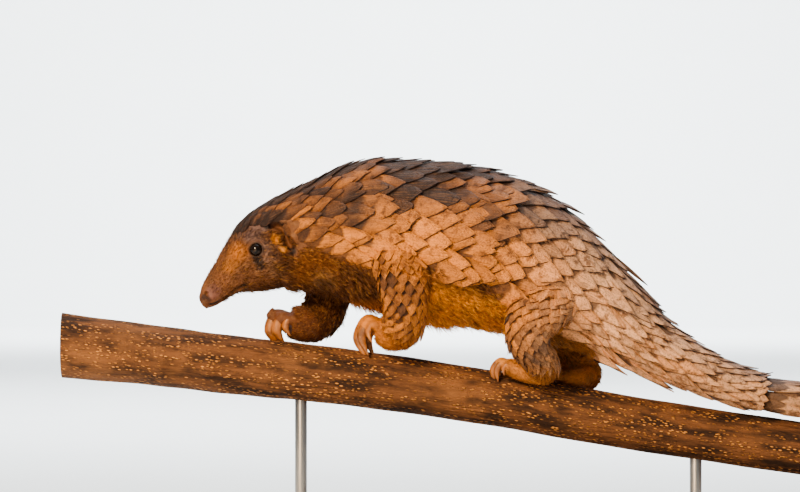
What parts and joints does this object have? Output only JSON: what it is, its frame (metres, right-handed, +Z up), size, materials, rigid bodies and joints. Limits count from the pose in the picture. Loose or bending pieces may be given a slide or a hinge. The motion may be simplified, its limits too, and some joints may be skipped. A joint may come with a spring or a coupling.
{
  "type": "tree pangolin on a branch, museum model",
  "caption": "Still life-size model of a scaly tree pangolin walking along a cut branch, head low, back arched, tail wound round the branch, held by a plain display stand",
  "frame": {"origin": "middle of the underside of the stand's base", "axes": "+Z up, the branch runs along X, the animal walks towards -X with its left side towards -Y"},
  "size_m": [0.694, 0.17, 0.2948],
  "materials": {
    "scale_horn": "satin horn scales, streaked lengthwise, worn pale at the tips",
    "face_skin": "bare and short-furred skin, soft and matte",
    "paw_skin": "short fur over skin with horn claws, satin",
    "eye": "dark, wet and glossy",
    "bark": "rough bark with rows of pale corky dots",
    "stand_wood": "dark stained, satin",
    "stand_metal": "bronzed, satin"
  },
  "bodies": {
    "root": {"head": "face_skin", "neck": "scale_horn", "torso": "scale_horn", "tail_1": "scale_horn", "tail_2": "scale_horn", "tail_3": "scale_horn", "tail_4": "scale_horn", "tail_5": "scale_horn", "tail_tip": "scale_horn", "foreleg_left": "scale_horn", "foreleg_right": "scale_horn", "hindleg_left": "scale_horn", "hindleg_right": "scale_horn", "shank_left": "scale_horn", "shank_right": "scale_horn", "forepaw_left": "paw_skin", "forepaw_right": "paw_skin", "hindfoot_left": "paw_skin", "hindfoot_right": "paw_skin", "eye_left": "eye", "eye_right": "eye", "ear_left": "face_skin", "ear_right": "face_skin", "perch_branch": "bark", "stand_base": "stand_wood", "stand_rod_front": "stand_metal", "stand_rod_rear": "stand_metal"}
  },
  "joints": []
}
